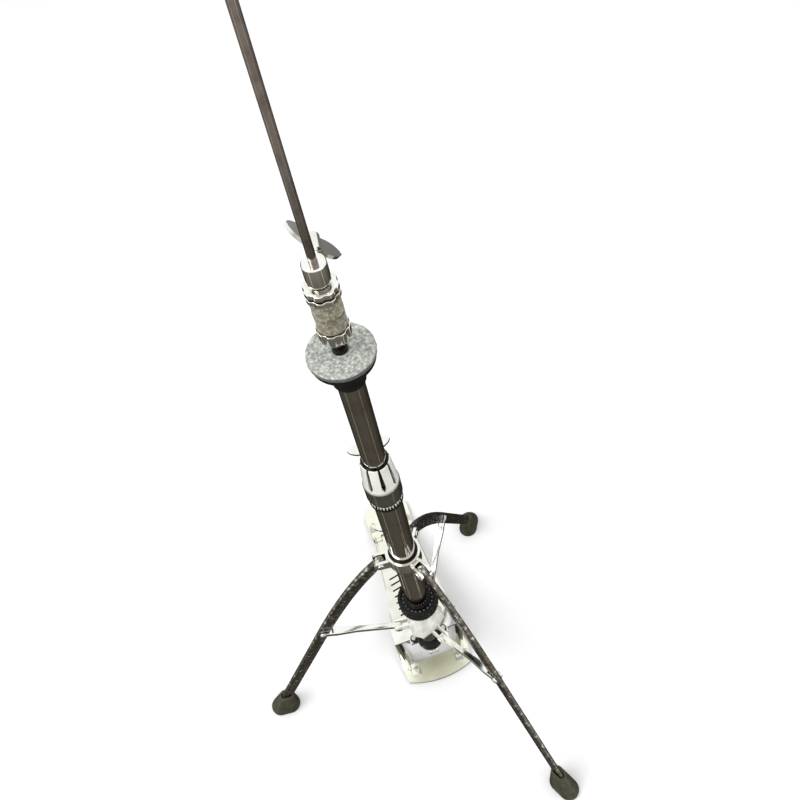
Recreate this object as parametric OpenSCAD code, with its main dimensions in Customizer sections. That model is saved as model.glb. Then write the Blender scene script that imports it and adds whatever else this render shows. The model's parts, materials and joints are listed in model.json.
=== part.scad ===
// Hi-hat stand: pull-rod column with a folding tripod, foot pedal and cymbal clutch.
// The origin is on the floor, under the column's axis. +Z is up, +Y points to the player
// and the pedal's heel, and -Y is the front. All sizes are in millimetres.

/* [Column] */
// Outer diameter of the lower tube
lower_tube_d = 28.6; // [28:0.1:28.8]
// Outer diameter of the upper tube
upper_tube_d = 22.2; // [21.6:0.1:22.4]
// Wall of both tubes
tube_wall = 1.3; // [1:0.1:1.4]
// Height of the lower tube's top end
lower_tube_top = 600; // [590:1:600]
// Height of the socket that holds the lower tube
socket_z = 140; // [138:1:142]
// Height of the upper tube's top end
upper_tube_top = 780; // [776:1:781]
// Length of the upper tube
upper_tube_len = 332; // [300:1:340]

/* [Pull rod] */
// Diameter of the upper pull rod
upper_rod_d = 6; // [5.6:0.1:6]
// Diameter of the lower pull rod
lower_rod_d = 8; // [7.6:0.1:8]
// Height of the upper pull rod's top end
rod_top = 1130; // [1000:5:1180]
// Height of the joint between the two rods
rod_joint_z = 484; // [478:1:490]
// Height of the pin between the rod's clevis and the pull link
link_top_z = 112; // [111:1:113]
// Height of the pin between the pull link and the toe bracket
link_low_z = 86; // [85:1:87]

/* [Tripod] */
// Direction of the front leg, in degrees from +X
front_az = -62.5; // [-66:0.1:-58]
// Direction of the back leg
back_az = 58.4; // [54:0.1:62]
// Direction of the left leg
left_az = 174.5; // [170:0.1:178]
// Distance from the column's axis at which a leg's middle line meets the floor
foot_r = 253.6; // [250:0.1:256]
// Width of a leg across its channel
leg_w = 6; // [5.6:0.1:6.4]
// Depth of a leg, seen from its side
leg_depth = 15; // [13:0.5:15]
// Distance and height of a leg's upper pivot
leg_pivot = [28, 430];
// Distance and height of a brace's pivot on the hub
hub_pivot = [35, 218.5];
// Height of the top of the brace hub's tapered casting
hub_top = 262; // [240:1:264]
// Distance and height of the pivot between brace and leg
brace_joint = [129.04, 262.51];

/* [Pedal] */
// Distance of the footboard's hinge from the column's axis
hinge_y = 226; // [224:1:228]
// Height of the footboard's hinge
hinge_z = 20; // [19:0.5:21]
// Slope of the footboard, in degrees
board_pitch = 20.4; // [19.5:0.1:20.6]
// Length of the footboard from its hinge to its toe
board_len = 222; // [218:1:223]

/* [Cymbal seat and clutch] */
// Height of the top of the seat felt
seat_top = 801; // [801:1:802]
// Radius of the seat felt
seat_felt_r = 26.5; // [22:0.5:28]
// Height of the lower face of the clutch
clutch_z = 818; // [818:1:840]
// Radius of the clutch nuts
nut_r = 12.5; // [11.5:0.1:13]

/* [Hidden] */
$fn = 96;

// Radial play of a sliding or turning fit, and of two parts that are fixed together
play = 0.05;
seated = 0.02;
// Radii of the column
lower_r = lower_tube_d / 2;
upper_r = upper_tube_d / 2;
lower_rod_r = lower_rod_d / 2;
upper_rod_r = upper_rod_d / 2;
// Half widths of the slot between two lugs and over both lugs, at the collar and at the hub
collar_slot = 4.2;
collar_lug = 7.2;
hub_slot = 3.5;
hub_lug = 5.9;
pin_r = 2.5;
// Half widths of the fork's slot and over the fork, and half the depth of a brace
fork_slot = leg_w / 2 + 0.5;
fork_half = fork_slot + 1.6;
brace_half = 3.4;
// Directions of the bolts that screw into the column from the side
clamp_bolt_az = 90;
collar_bolt_az = 93;
clutch_bolt_az = 80;
// Heights of those bolts
clamp_bolt_z = 592;
collar_bolt_z = 437;
clutch_bolt_z = 881;
// Height of the mark line on the upper rod
rod_mark_z = 891.5;
// Heights of the dial's lower face and of the spring between its seat and its collar
dial_z = 280;
seat_z = 284;
spring_collar_z = 392;
// Brace: length between its pivots, and its slope in degrees
brace_vec = brace_joint - hub_pivot;
brace_len = norm(brace_vec);
brace_slope = atan2(brace_vec[1], brace_vec[0]);
// Thickness of the pads under the base, and of the base's plate
pad_t = 1.5;
plate_top = 4.5;
// Half width between the yoke's uprights at the base, their thickness, and half its top width
upright_x = 41;
upright_t = 4;
yoke_half = 50;
// Distance of the socket's bolts from the column's axis
socket_bolt_x = 21.8;

// ---- shared shapes ----

// A tube from height z0 to z1
module ring(r_out, r_in, z0, z1) {
    translate([0, 0, z0])
        difference() {
            cylinder(r = r_out, h = z1 - z0);
            translate([0, 0, -1])
                cylinder(r = r_in, h = z1 - z0 + 2);
        }
}

// A solid of revolution with a bore, from [radius, height] points
module turned(points) {
    rotate_extrude()
        polygon(points);
}

// A cylinder across the part: along Y in a leg's frame, at distance r and height z
module cross_pin(r, z, radius, half) {
    translate([r, half, z])
        rotate([90, 0, 0])
            cylinder(r = radius, h = 2 * half, $fn = 48);
}

// A cylinder along X at [y, z]
module x_pin(y, z, radius, x0, x1) {
    translate([x0, y, z])
        rotate([0, 90, 0])
            cylinder(r = radius, h = x1 - x0, $fn = 48);
}

// Turns a shape drawn along +X into direction az
module toward(az) {
    rotate([0, 0, az])
        children();
}

// A slab in a leg's frame from an outline of [distance, height] points
module slab(points, half) {
    rotate([90, 0, 0])
        linear_extrude(2 * half, center = true)
            polygon(points);
}

// Two lugs that hold a pivot: a round end at [r, z], and a web back to the ring at ring_r
module lugs(r, z, ring_r, end_r, slot, half) {
    difference() {
        union() {
            cross_pin(r, z, end_r, half);
            slab([
                [ring_r, z - end_r], [r, z - end_r], [r, z + end_r], [ring_r, z + end_r]
            ], half);
        }
        translate([ring_r + 3, -slot, z - 30])
            cube([60, 2 * slot, 60]);
        cross_pin(r, z, pin_r + seated, 20);
    }
}

// Outline of a wing: a petal whose width follows an ellipse on each side of its widest point
function petal_half(t, w) = w / 2 * pow(max(0, 1 - pow((t - 0.35) / (t < 0.35 ? 0.8 : 0.65), 2)), 0.7);
function petal(x, w, reach, lean) = concat(
    [for (i = [0:10]) [x + lean * i / 10 - petal_half(i / 10, w), reach * (0.12 + 0.088 * i)]],
    [for (i = [9:-1:0]) [x + lean * i / 10 + petal_half(i / 10, w), reach * (0.12 + 0.088 * i)]]
);

// A wing bolt along +X: shank from tip to neck, then a hub with two wings rolled about X
module wing_bolt(tip, neck, shank_r, wing_x, reach, wing_w, roll) {
    difference() {
        union() {
            translate([tip, 0, 0])
                rotate([0, 90, 0])
                    cylinder(r = shank_r, h = neck - tip + 1, $fn = 48);
            translate([neck, 0, 0])
                rotate([0, 90, 0])
                    cylinder(r1 = shank_r + 3.4, r2 = shank_r + 2, h = wing_x - neck + 6, $fn = 48);
            rotate([roll, 0, 0])
                for (side = [1, -1])
                    mirror([0, side < 0 ? 1 : 0, 0])
                        translate([0, 0, -1.6])
                            linear_extrude(3.2)
                                polygon(petal(wing_x, wing_w, reach, 2.5));
        }
        translate([wing_x + 4, 0, 0])
            rotate([0, 90, 0])
                cylinder(r = shank_r - 0.6, h = 4, $fn = 48);
    }
}

// A nut with a scalloped edge
module scalloped_nut(z0, z1, scallops) {
    difference() {
        ring(nut_r, 5.95, z0, z1);
        for (i = [0:scallops - 1])
            rotate([0, 0, i * 360 / scallops])
                translate([nut_r + 3.4, 0, z0 - 1])
                    cylinder(r = 4.6, h = z1 - z0 + 2, $fn = 48);
    }
}

// ---- pedal frame ----

// Right half of the base's outline, from the front's middle round to the front's middle
base_outer = concat(
    [for (a = [-90:4.44:-67.8]) [135 * cos(a), 114 + 135 * sin(a)]],
    [[54.5, 10], [56.5, 36], [54.4, 72], [49.5, 92], [46.5, 108]]
);
base_inner = [[38, 108], [41, 92], [45.5, 70], [45.5, 44], [38, 36], [37, 18], [30, 14.5]];
// Side rails of the base: [y, outer x, ridge x, ridge height]
rail_stations = [[9, 54, 47.8, 6], [38, 56, 49.8, 13], [70, 54.2, 51.5, 14], [107, 46.4, 43.6, 14]];

module rail_slice(s) {
    translate([0, s[0], 0])
        rotate([90, 0, 0])
            linear_extrude(0.01)
                polygon([
                    [s[1], plate_top - 1], [s[2] + 1, s[3]],
                    [s[2] - 1.5, s[3]], [s[2] - 1.5, plate_top - 1]
                ]);
}

// The bent rods that tie the base to the heel plate converge towards the heel
module radius_rod(side, radius, length, start) {
    translate([side * 43.2, 98, 8.6])
        rotate([0, 0, side * 5])
            rotate([-90, 0, 0])
                translate([0, 0, start])
                    cylinder(r = radius, h = length, $fn = 48);
}

// Hoop on the floor: a curved front plate and two side rails
module base_frame() {
    color("silver")
    difference() {
        union() {
            for (side = [0, 1])
                mirror([side, 0, 0]) {
                    translate([0, 0, pad_t])
                        linear_extrude(plate_top - pad_t)
                            polygon(concat(base_outer, base_inner, [[0, 14.5]]));
                    for (i = [0:2])
                        hull() {
                            rail_slice(rail_stations[i]);
                            rail_slice(rail_stations[i + 1]);
                        }
                    translate([38.2, 94, plate_top - 1])
                        cube([6, 13.5, 9.5]);
                }
        }
        for (side = [1, -1])
            radius_rod(side, 3 + seated, 40, -20);
    }
}

// Rubber strips under the base and the heel plate
module floor_pads() {
    color("#202020") {
        for (side = [0, 1])
            mirror([side, 0, 0])
                linear_extrude(pad_t)
                    polygon([[0, -19], [48, -8], [51, 12], [0, 12]]);
        translate([-28, 256, 0])
            cube([56, 34, 2]);
    }
}

// Right half of the yoke's outline, from the inside of its top plate to the outside
yoke_side = [
    [0, socket_z - 4], [yoke_half - 4.3, socket_z - 4], [upright_x, plate_top],
    [upright_x + upright_t, plate_top], [yoke_half, socket_z], [0, socket_z]
];

// Inverted U of steel strip that carries the column above the footboard's toe
module column_yoke() {
    color("silver")
    difference() {
        union() {
            translate([0, 0, socket_z - 4])
                cylinder(r = 17.5, h = 4);
            translate([-28, -1, socket_z - 4])
                cube([56, 10, 4]);
            translate([0, 32, 0])
                rotate([90, 0, 0])
                    linear_extrude(26)
                        polygon(concat(
                            yoke_side, [for (i = [5:-1:0]) [-yoke_side[i][0], yoke_side[i][1]]]
                        ));
            for (side = [0, 1])
                mirror([side, 0, 0]) {
                    translate([29, -5, plate_top])
                        cube([upright_x - 29 + 1, 18.5, 3]);
                    translate([upright_x - 1, 6, plate_top])
                        cube([2, 7.5, 3]);
                }
        }
        translate([0, 0, socket_z - 10])
            cylinder(r = 6.5, h = 20);
        for (side = [1, -1]) {
            translate([side * socket_bolt_x, 4, socket_z - 10])
                cylinder(r = 2.5 + seated, h = 20, $fn = 48);
            translate([side * 34.5, 4, 0])
                cylinder(r = 2.5 + seated, h = 20, $fn = 48);
        }
    }
}

// Button-head bolts: two hold the socket on the yoke, and two hold the yoke on the base
module yoke_bolts() {
    color("gainsboro")
        for (side = [1, -1]) {
            translate([side * socket_bolt_x, 4, socket_z - 6]) {
                cylinder(r = 2.5, h = 14, $fn = 48);
                translate([0, 0, 13.1])
                    cylinder(r1 = 3.8, r2 = 3, h = 2.6, $fn = 48);
            }
            translate([side * 34.5, 4, plate_top + 3]) {
                cylinder(r1 = 4.4, r2 = 3.2, h = 2.6, $fn = 48);
                translate([0, 0, -3])
                    cylinder(r = 2.5, h = 4, $fn = 48);
            }
        }
}

// Black cast socket that holds the foot of the lower tube
module column_socket() {
    color("#1c1c1c")
    difference() {
        union() {
            turned([
                [0, socket_z], [16.4, socket_z], [17.5, socket_z + 1.2],
                [17.5, socket_z + 17], [16.6, socket_z + 19], [0, socket_z + 19]
            ]);
            for (side = [1, -1])
                translate([side * socket_bolt_x, 4, socket_z])
                    cylinder(r = 5, h = 7, $fn = 48);
            translate([-socket_bolt_x, -1, socket_z])
                cube([2 * socket_bolt_x, 10, 7]);
        }
        translate([0, 0, socket_z + 3])
            cylinder(r = lower_r + seated, h = 30);
        translate([0, 0, socket_z - 1])
            cylinder(r = 6.5, h = 10);
        for (side = [1, -1])
            translate([side * socket_bolt_x, 4, socket_z - 1])
                cylinder(r = 2.5 + seated, h = 12, $fn = 48);
    }
}

// ---- heel, footboard and pull link ----

// Draws in the footboard's frame: the hinge is at the origin and the toe lies along -Y
module on_board() {
    translate([0, hinge_y, hinge_z])
        rotate([-board_pitch, 0, 0])
            children();
}

// Flat heel plate with a ramp up to the hinge's fixed knuckles
module heel_plate() {
    color("gainsboro")
    difference() {
        union() {
            translate([0, 0, 2])
                linear_extrude(5)
                    difference() {
                        union() {
                            polygon([[-37, 238], [37, 238], [39, 266], [39, 280], [-39, 280], [-39, 266]]);
                            translate([-21, 270])
                                square([42, 28]);
                            for (side = [1, -1])
                                translate([side * 21, 280])
                                    circle(r = 18);
                        }
                    }
            intersection() {
                rotate([90, 0, 90])
                    linear_extrude(90, center = true)
                        polygon([[232, 2], [264, 2], [264, 7], [244, 19], [236, 19], [232, 15]]);
                translate([-36, 230, 0])
                    cube([72, 40, 40]);
            }
            for (x = [[-31, -21.3], [-6.7, 6.7], [21.3, 31]]) {
                x_pin(hinge_y, hinge_z, 5.5, x[0], x[1]);
                translate([x[0], hinge_y, hinge_z - 5.5])
                    cube([x[1] - x[0], 9, 9]);
            }
        }
        x_pin(hinge_y, hinge_z, 3 + seated, -40, 40);
        for (x = [[-21.6, -6.4], [6.4, 21.6]])
            x_pin(hinge_y, hinge_z, 6.5, x[0], x[1]);
        for (side = [1, -1])
            radius_rod(side, 3 + seated, 60, 110);
    }
}

// Two straight rods that hold the heel plate at its distance from the base
module radius_rods() {
    color("silver")
        for (side = [1, -1])
            radius_rod(side, 3, 152, -3);
}

// Pin of the heel hinge, with a head at each end
module heel_hinge_pin() {
    color("gainsboro") {
        x_pin(hinge_y, hinge_z, 3, -32, 32);
        for (x = [-33.4, 31.4])
            x_pin(hinge_y, hinge_z, 4.2, x, x + 2);
    }
}

// Right half of the footboard's outline, as [half width, distance from the hinge]
board_side = [[31, 8], [34.5, 68], [41.5, 122], [44.8, 160], [44.8, 188], [38, 194], [35, 218]];

// The footboard's outline, drawn in by a margin
function board_outline(m) = concat(
    [for (p = board_side) [p[0] - m, -max(8 + m, min(p[1], board_len - 2 - m))]],
    [[30 - m, -board_len + m], [-30 + m, -board_len + m]],
    [for (i = [len(board_side) - 1:-1:0])
        [-board_side[i][0] + m, -max(8 + m, min(board_side[i][1], board_len - 2 - m))]]
);

// A chevron of two slanted slots at distance u from the hinge
module chevron(u) {
    for (side = [1, -1])
        translate([side * 22, -u - 3, 0])
            rotate([0, 0, -side * 15]) {
                square([15, 3.2], center = true);
                for (end = [1, -1])
                    translate([end * 7.5, 0])
                        circle(r = 1.6, $fn = 24);
            }
}

// Sloping plate with folded-down edges, chevron slots and two hinge knuckles
module footboard() {
    color("gainsboro")
    difference() {
        union() {
            on_board() {
                translate([0, 0, 1.5])
                    linear_extrude(3)
                        difference() {
                            polygon(board_outline(0));
                            for (i = [0:6])
                                chevron(92 + 12.8 * i);
                        }
                translate([0, 0, -5])
                    linear_extrude(7)
                        difference() {
                            polygon(board_outline(0));
                            polygon(board_outline(3));
                        }
                for (x = [-6, 6])
                    translate([x - 1.5, -186, -3])
                        cube([3, 171, 5]);
            }
            for (x = [[-21, -7], [7, 21]]) {
                x_pin(hinge_y, hinge_z, 5.5, x[0], x[1]);
                on_board()
                    translate([x[0], -10, -2])
                        cube([x[1] - x[0], 10, 6.5]);
            }
        }
        x_pin(hinge_y, hinge_z, 3 + play, -40, 40);
        on_board()
            for (side = [1, -1])
                translate([side * 16, -200, -10])
                    cylinder(r = 2.5 + seated, h = 30, $fn = 48);
    }
}

// Bracket under the toe, with two lugs for the pull link and two bolts through the board
module toe_bracket() {
    color("silver")
    difference() {
        union() {
            on_board() {
                translate([-24, -211, -2.5])
                    cube([48, 20, 3.9]);
                for (side = [1, -1])
                    translate([side * 16, -200, -2]) {
                        cylinder(r = 2.5, h = 7, $fn = 48);
                        translate([0, 0, 6.6])
                            cylinder(r1 = 4.4, r2 = 3.2, h = 2.4, $fn = 48);
                    }
            }
            for (x = [-6.6, 3.4])
                translate([x, 0, 0])
                    rotate([90, 0, 90])
                        linear_extrude(3.2)
                            polygon([
                                [-4, link_low_z - 5], [4, link_low_z - 6], [36, link_low_z - 4],
                                [40, link_low_z + 1], [28, link_low_z + 5.6],
                                [20, link_low_z + 3], [0, link_low_z + 6]
                            ]);
            for (x = [[-6.6, -3.4], [3.4, 6.6]])
                x_pin(0, link_low_z, 6, x[0], x[1]);
        }
        x_pin(0, link_low_z, pin_r + seated, -20, 20);
    }
}

// Pin between the toe bracket and the pull link
module toe_pin() {
    color("gainsboro") {
        x_pin(0, link_low_z, pin_r, -7, 7);
        for (x = [-8.2, 6.6])
            x_pin(0, link_low_z, 4, x, x + 1.6);
    }
}

// Flat bar from the pull rod's clevis to the toe. Its lower hole has room for the pin's arc.
module pull_link() {
    color("silver")
    difference() {
        union() {
            for (z = [link_low_z, link_top_z])
                x_pin(0, z, 5.5, -3, 3);
            translate([-3, -3.5, link_low_z])
                cube([6, 7, link_top_z - link_low_z]);
        }
        x_pin(0, link_top_z, pin_r + play, -10, 10);
        x_pin(0, link_low_z, pin_r + 0.4, -10, 10);
    }
}

// Clevis on the lower end of the pull rod
module rod_clevis() {
    color("silver")
    difference() {
        union() {
            x_pin(0, link_top_z, 6, -6.2, 6.2);
            translate([-6.2, -6, link_top_z])
                cube([12.4, 12, 15]);
        }
        translate([-3.3, -10, link_top_z - 10])
            cube([6.6, 20, 17]);
        x_pin(0, link_top_z, pin_r + seated, -20, 20);
        translate([0, 0, link_top_z + 5])
            cylinder(r = lower_rod_r + seated, h = 20);
    }
}

module clevis_pin() {
    color("gainsboro") {
        x_pin(0, link_top_z, pin_r, -7, 7);
        for (x = [-7.8, 6.2])
            x_pin(0, link_top_z, 4, x, x + 1.6);
    }
}

// ---- column ----

// Nylon guide of the pull rod in the foot of the lower tube
module bottom_bush() {
    color("ivory")
        ring(lower_r - tube_wall - seated, lower_rod_r + play, socket_z + 3.1, socket_z + 20);
}

// Lower tube, with two slots for the spring seat's lugs and a hole for the clamp's bolt
module lower_tube() {
    color("#5a5a55")
    difference() {
        ring(lower_r, lower_r - tube_wall, socket_z + 3.1, lower_tube_top);
        translate([-20, -2.8, dial_z + 1.5])
            cube([40, 5.6, 14.5]);
        toward(clamp_bolt_az)
            translate([5, 0, clamp_bolt_z])
                rotate([0, 90, 0])
                    cylinder(r = 4, h = 20, $fn = 48);
    }
}

// Two rings pinned to the lower tube that keep the brace hub at its height
module hub_retainers() {
    color("silver") {
        ring(17, lower_r + seated, 205, 211.7);
        ring(17, lower_r + seated, hub_top + 0.3, hub_top + 7);
    }
}

// Corners of the hub's plate, one at each brace and two between braces: [radius, direction]
hub_corners = [
    [22, left_az - 360], [27, left_az - 360 + 47], [27, front_az - 47],
    [22, front_az], [27, front_az + 47], [27, back_az - 47],
    [22, back_az], [27, back_az + 47], [27, left_az - 47]
];
hub_outline = [for (v = hub_corners) v[0] * [cos(v[1]), sin(v[1])]];

// Hub that turns on the lower tube and holds the three braces
module brace_hub() {
    color("gainsboro")
    difference() {
        union() {
            translate([0, 0, 212])
                cylinder(r = 18, h = hub_top - 212);
            translate([0, 0, 219.5])
                linear_extrude(5.5)
                    polygon(hub_outline);
            translate([0, 0, 225])
                linear_extrude(hub_top - 226, scale = 17.5 / 27)
                    polygon(hub_outline);
            for (az = [front_az, back_az, left_az])
                toward(az)
                    lugs(hub_pivot[0], hub_pivot[1], 16, 6.5, hub_slot, hub_lug);
        }
        translate([0, 0, -1])
            cylinder(r = lower_r + play, h = 300);
    }
}

// Pins of the three braces in the hub
module brace_pins() {
    color("gainsboro")
        for (az = [front_az, back_az, left_az])
            toward(az) {
                cross_pin(hub_pivot[0], hub_pivot[1], pin_r, hub_lug + 0.5);
                for (side = [1, -1])
                    translate([0, side * (hub_lug + 0.7), 0])
                        cross_pin(hub_pivot[0], hub_pivot[1], 4, 0.7);
            }
}

// Folded steel strut: a narrow channel at the hub that opens into a fork around the leg
module brace(az) {
    color("gainsboro")
    toward(az)
        translate([hub_pivot[0], 0, hub_pivot[1]])
            rotate([0, -brace_slope, 0])
                difference() {
                    intersection() {
                        translate([0, 0, -10])
                            linear_extrude(20)
                                polygon([
                                    [-7, -3.2], [58, -3.2], [84, -fork_half],
                                    [brace_len + 8, -fork_half], [brace_len + 8, fork_half],
                                    [84, fork_half], [58, 3.2], [-7, 3.2]
                                ]);
                        union() {
                            cross_pin(0, 0, 4.8, 10);
                            cross_pin(brace_len, 0, 4.8, 10);
                            slab([
                                [0, -brace_half], [brace_len, -brace_half - 0.6],
                                [brace_len, brace_half + 0.6], [0, brace_half]
                            ], 10);
                        }
                    }
                    translate([brace_len - 12.5, -fork_slot, -10])
                        cube([40, 2 * fork_slot, 20]);
                    translate([9, -1.7, -10])
                        cube([66, 3.4, 11.9]);
                    cross_pin(0, 0, pin_r + play, 10);
                    cross_pin(brace_len, 0, 2 + seated, 10);
                }
}

// Rivet of the fork. It passes through the leg with room for the fold's small misalignment.
module brace_rivet(az) {
    color("gainsboro")
    toward(az)
        translate([hub_pivot[0], 0, hub_pivot[1]])
            rotate([0, -brace_slope, 0]) {
                cross_pin(brace_len, 0, 2, fork_half + 0.4);
                for (side = [1, -1])
                    translate([0, side * (fork_half + 0.7), 0])
                        cross_pin(brace_len, 0, 3.8, 0.7);
            }
}

module brace_front() { brace(front_az); }
module brace_back() { brace(back_az); }
module brace_left() { brace(left_az); }
module rivet_front() { brace_rivet(front_az); }
module rivet_back() { brace_rivet(back_az); }
module rivet_left() { brace_rivet(left_az); }

// Ribbed dial around the tube: a dished top, and a hollow where the spring seat's lugs run
module tension_dial() {
    color("#161616")
    difference() {
        turned([
            [lower_r + play, dial_z], [22, dial_z], [25, dial_z + 3], [25, dial_z + 20],
            [23.8, dial_z + 22], [21.2, dial_z + 22], [20.6, dial_z + 17.2],
            [16.2, dial_z + 17.2], [15.8, dial_z + 21], [lower_r + play, dial_z + 21]
        ]);
        ring(18.6, 5, dial_z + 1.4, dial_z + 15.6);
        for (i = [0:35])
            rotate([0, 0, i * 10])
                translate([25.3, 0, dial_z - 1])
                    cylinder(r = 1, h = 30, $fn = 24);
    }
}

module dial_retainer() {
    color("#161616")
        ring(18, lower_r + seated, dial_z - 7, dial_z - 0.35);
}

// Disc under the spring, with a lug on each side that reaches into the dial
module spring_seat() {
    color("gray")
    difference() {
        union() {
            translate([0, 0, seat_z])
                cylinder(r = lower_r - tube_wall - 0.3, h = 6);
            translate([-17.6, -2.4, seat_z])
                cube([35.2, 4.8, 4]);
        }
        translate([0, 0, seat_z - 1])
            cylinder(r = lower_rod_r + 0.4, h = 20);
    }
}

// Helical spring: rings of points around the wire, joined into a closed tube
spring_turns = 10;
spring_steps = 20;
wire_sides = 8;
wire_r = 1.1;
coil_r = 8;
spring_low = seat_z + 6.2 + wire_r;
spring_high = spring_collar_z - 0.2 - wire_r;
spring_rings = spring_turns * spring_steps;
function coil_point(i, j) = let (
    turn = 360 * i / spring_steps,
    side = 360 * j / wire_sides,
    r = coil_r + wire_r * cos(side)
) [r * cos(turn), r * sin(turn), spring_low + (spring_high - spring_low) * i / spring_rings
    + wire_r * sin(side)];

module return_spring() {
    color("gray")
        polyhedron(
            points = [for (i = [0:spring_rings], j = [0:wire_sides - 1]) coil_point(i, j)],
            faces = concat(
                [[for (j = [0:wire_sides - 1]) j]],
                [for (i = [0:spring_rings - 1], j = [0:wire_sides - 1]) [
                    i * wire_sides + j, (i + 1) * wire_sides + j,
                    (i + 1) * wire_sides + (j + 1) % wire_sides,
                    i * wire_sides + (j + 1) % wire_sides
                ]],
                [[for (j = [wire_sides - 1:-1:0]) spring_rings * wire_sides + j]]
            )
        );
}

// Collar on the rod that presses on the spring
module rod_collar() {
    color("silver")
        ring(9.2, lower_rod_r + seated, spring_collar_z, spring_collar_z + 8);
}

module lower_rod() {
    color("silver")
        translate([0, 0, link_top_z + 7.2])
            cylinder(r = lower_rod_r, h = rod_joint_z - link_top_z - 7.2);
}

// Threaded sleeve that joins the two rods
module rod_coupler() {
    color("silver")
    difference() {
        translate([0, 0, rod_joint_z - 15])
            cylinder(r = 6.5, h = 32);
        translate([0, 0, rod_joint_z - 16])
            cylinder(r = lower_rod_r + seated, h = 16.3);
        translate([0, 0, rod_joint_z - 1])
            cylinder(r = upper_rod_r + seated, h = 40);
    }
}

// Upper pull rod, with a chamfered top end and a fine mark line above the clutch's place
module upper_rod() {
    color("#6b625a") {
        translate([0, 0, rod_joint_z + 0.5])
            cylinder(r = upper_rod_r, h = rod_mark_z - rod_joint_z - 0.5);
        translate([0, 0, rod_mark_z - 1])
            cylinder(r = upper_rod_r - 0.25, h = 4);
        translate([0, 0, rod_mark_z + 1.2])
            cylinder(r = upper_rod_r, h = rod_top - rod_mark_z - 4.2);
        translate([0, 0, rod_top - 3])
            cylinder(r1 = upper_rod_r, r2 = upper_rod_r - 1.2, h = 3);
    }
}

// ---- tripod ----

// Collar that slides on the lower tube and holds the three legs
module leg_collar() {
    color("gainsboro")
    difference() {
        union() {
            translate([0, 0, 424])
                cylinder(r = 19.3, h = 20);
            for (az = [front_az, back_az, left_az])
                toward(az)
                    lugs(leg_pivot[0], leg_pivot[1], 17.5, 7.5, collar_slot, collar_lug);
            toward(collar_bolt_az)
                translate([15, 0, collar_bolt_z - 1])
                    rotate([0, 90, 0])
                        cylinder(r = 6, h = 13, $fn = 48);
        }
        translate([0, 0, 400])
            cylinder(r = 16.6, h = 60);
        toward(collar_bolt_az)
            translate([10, 0, collar_bolt_z - 1])
                rotate([0, 90, 0])
                    cylinder(r = 3 + play, h = 30, $fn = 48);
    }
}

// Nylon bush between the collar and the tube
module collar_bush() {
    color("#222222")
    difference() {
        ring(16.55, lower_r + play, 424.5, 443);
        toward(collar_bolt_az)
            translate([10, 0, collar_bolt_z - 1])
                rotate([0, 90, 0])
                    cylinder(r = 3.4, h = 30, $fn = 48);
    }
}

module collar_wing_bolt() {
    color("gainsboro")
        toward(collar_bolt_az)
            translate([0, 0, collar_bolt_z - 1])
                wing_bolt(lower_r + 0.4, 28.6, 3, 38, 20, 12, 0);
}

// Pins of the three legs in the collar
module leg_pins() {
    color("gainsboro")
        for (az = [front_az, back_az, left_az])
            toward(az) {
                cross_pin(leg_pivot[0], leg_pivot[1], pin_r, collar_lug + 0.5);
                for (side = [1, -1])
                    translate([0, side * (collar_lug + 0.7), 0])
                        cross_pin(leg_pivot[0], leg_pivot[1], 3.8, 0.7);
            }
}

// Middle line of a leg: an arc out of the collar, then straight to the floor
leg_knee = [129.9, 260.7];
leg_lean = [69.6, 387.7];
leg_end = [foot_r, 0] + (leg_knee - [foot_r, 0]) * 0.05;
function bend(t) = (1 - t) * (1 - t) * leg_pivot + 2 * t * (1 - t) * leg_lean + t * t * leg_knee;
leg_line = concat([for (i = [0:10]) bend(i / 10)], [leg_end]);
function unit(v) = v / norm(v);
function side_of(line, i) = let (
    along = unit(line[min(i + 1, len(line) - 1)] - line[max(i - 1, 0)])
) [-along[1], along[0]];
// Outline of a strip along a line, with its own depth above and below
function strip(line, above, below) = concat(
    [for (i = [0:len(line) - 1]) line[i] + side_of(line, i) * above],
    [for (i = [len(line) - 1:-1:0]) line[i] - side_of(line, i) * below]
);

// Pressed channel, open underneath, with its pivot hole and a wide hole for the rivet
module leg(az) {
    color("#4a4a48")
    toward(az)
        difference() {
            union() {
                slab(strip(leg_line, leg_depth / 2, leg_depth / 2), leg_w / 2);
                cross_pin(leg_pivot[0], leg_pivot[1], leg_depth / 2 - 0.5, collar_slot - 0.4);
            }
            slab(strip([for (i = [2:11]) leg_line[i]], leg_depth / 2 - 1.8, leg_depth), leg_w / 2 - 1.4);
            cross_pin(leg_pivot[0], leg_pivot[1], pin_r + play, 10);
            cross_pin(brace_joint[0], brace_joint[1], 4.4, 10);
        }
}

module leg_front() { leg(front_az); }
module leg_back() { leg(back_az); }
module leg_left() { leg(left_az); }

// Rubber shoe: a flat oval sole that rises to a collar around the end of the leg
module foot(az) {
    color("#3a3a30")
    toward(az)
        difference() {
            hull() {
                for (r = [237, 252])
                    translate([r, 0, 0])
                        cylinder(r = 14.5, h = 5, $fn = 32);
                for (r = [230, 235.5])
                    translate([r, 0, 38])
                        cylinder(r = 8.5, h = 8, $fn = 32);
            }
            slab(strip(
                [leg_line[10], leg_end + 0.1 * unit(leg_end - leg_line[10])],
                leg_depth / 2 + 0.15, leg_depth / 2 + 0.15
            ), leg_w / 2 + 0.1);
        }
}

module foot_front() { foot(front_az); }
module foot_back() { foot(back_az); }
module foot_left() { foot(left_az); }

// ---- height clamp ----

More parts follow.
